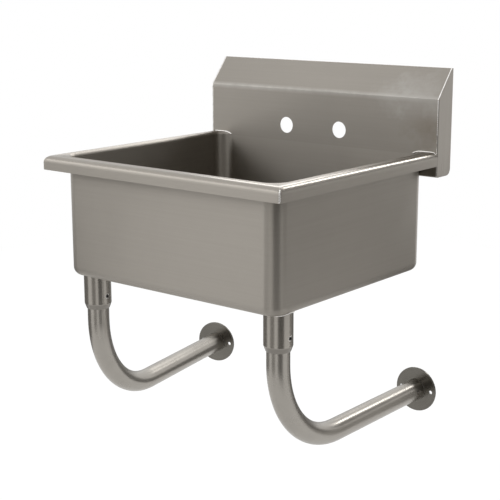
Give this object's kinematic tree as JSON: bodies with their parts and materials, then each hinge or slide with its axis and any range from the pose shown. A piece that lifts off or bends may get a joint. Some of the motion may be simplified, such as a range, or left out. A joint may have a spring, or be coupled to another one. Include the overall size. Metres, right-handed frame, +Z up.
{
  "type": "mop service sink",
  "caption": "Wall-hung stainless service sink with a deep coved bowl, rolled rim, tap backsplash, bent tube supports and a basket drain.",
  "frame": {"origin": "middle of the wall hanger's back face, on the wall", "axes": "+Z up, front faces -Y, +Y into the wall"},
  "size_m": [0.4881, 0.4122, 0.5362],
  "materials": {
    "bowl_steel": "satin brushed stainless, grain along the walls",
    "splash_steel": "satin brushed stainless",
    "cap_steel": "satin brushed stainless, upright grain",
    "hanger_zinc": "zinc-plated strip",
    "socket_steel": "turned and polished",
    "screw_black": "black oxide",
    "tube_steel": "polished along the tube",
    "flange_steel": "polished, darker",
    "drain_steel": "pressed, polished flange",
    "gasket_rubber": "matt",
    "friction_fibre": "pressed fibre",
    "nut_zinc": "die-cast zinc",
    "basket_steel": "pressed, polished",
    "clip_steel": "spring wire",
    "post_steel": "polished knob",
    "stopper_rubber": "matt",
    "stem_nut_brass": "plain"
  },
  "bodies": {
    "sink": {"bowl": "bowl_steel", "backsplash": "splash_steel", "end_cap_left": "cap_steel", "end_cap_right": "cap_steel", "wall_hanger": "hanger_zinc", "leg_socket_left": "socket_steel", "leg_socket_right": "socket_steel", "set_screw_left": "screw_black", "set_screw_right": "screw_black", "strainer_body": "drain_steel", "drain_gasket": "gasket_rubber", "friction_ring": "friction_fibre", "lock_nut": "nut_zinc"},
    "support_left": {"support_tube_left": "tube_steel", "wall_flange_left": "flange_steel"},
    "support_right": {"support_tube_right": "tube_steel", "wall_flange_right": "flange_steel"},
    "basket": {"strainer_basket": "basket_steel", "post_clip": "clip_steel"},
    "stopper": {"stopper_post": "post_steel", "basket_stopper": "stopper_rubber", "stem_nut": "stem_nut_brass"}
  },
  "joints": [
    {"name": "support_left_swing", "type": "hinge", "parent": "sink", "child": "support_left", "pos_m": [-0.17, -0.355, -0.29], "axis": [0, 0, 1], "range_deg": [-31, 9]},
    {"name": "support_right_swing", "type": "hinge", "parent": "sink", "child": "support_right", "pos_m": [0.17, -0.355, -0.29], "axis": [0, 0, 1], "range_deg": [-20, 20]},
    {"name": "basket_lift", "type": "slide", "parent": "sink", "child": "basket", "axis": [0, 0, 1], "range_m": [0, 0.24]},
    {"name": "stopper_slide", "type": "slide", "parent": "basket", "child": "stopper", "axis": [0, 0, 1], "range_m": [0, 0.006]}
  ]
}
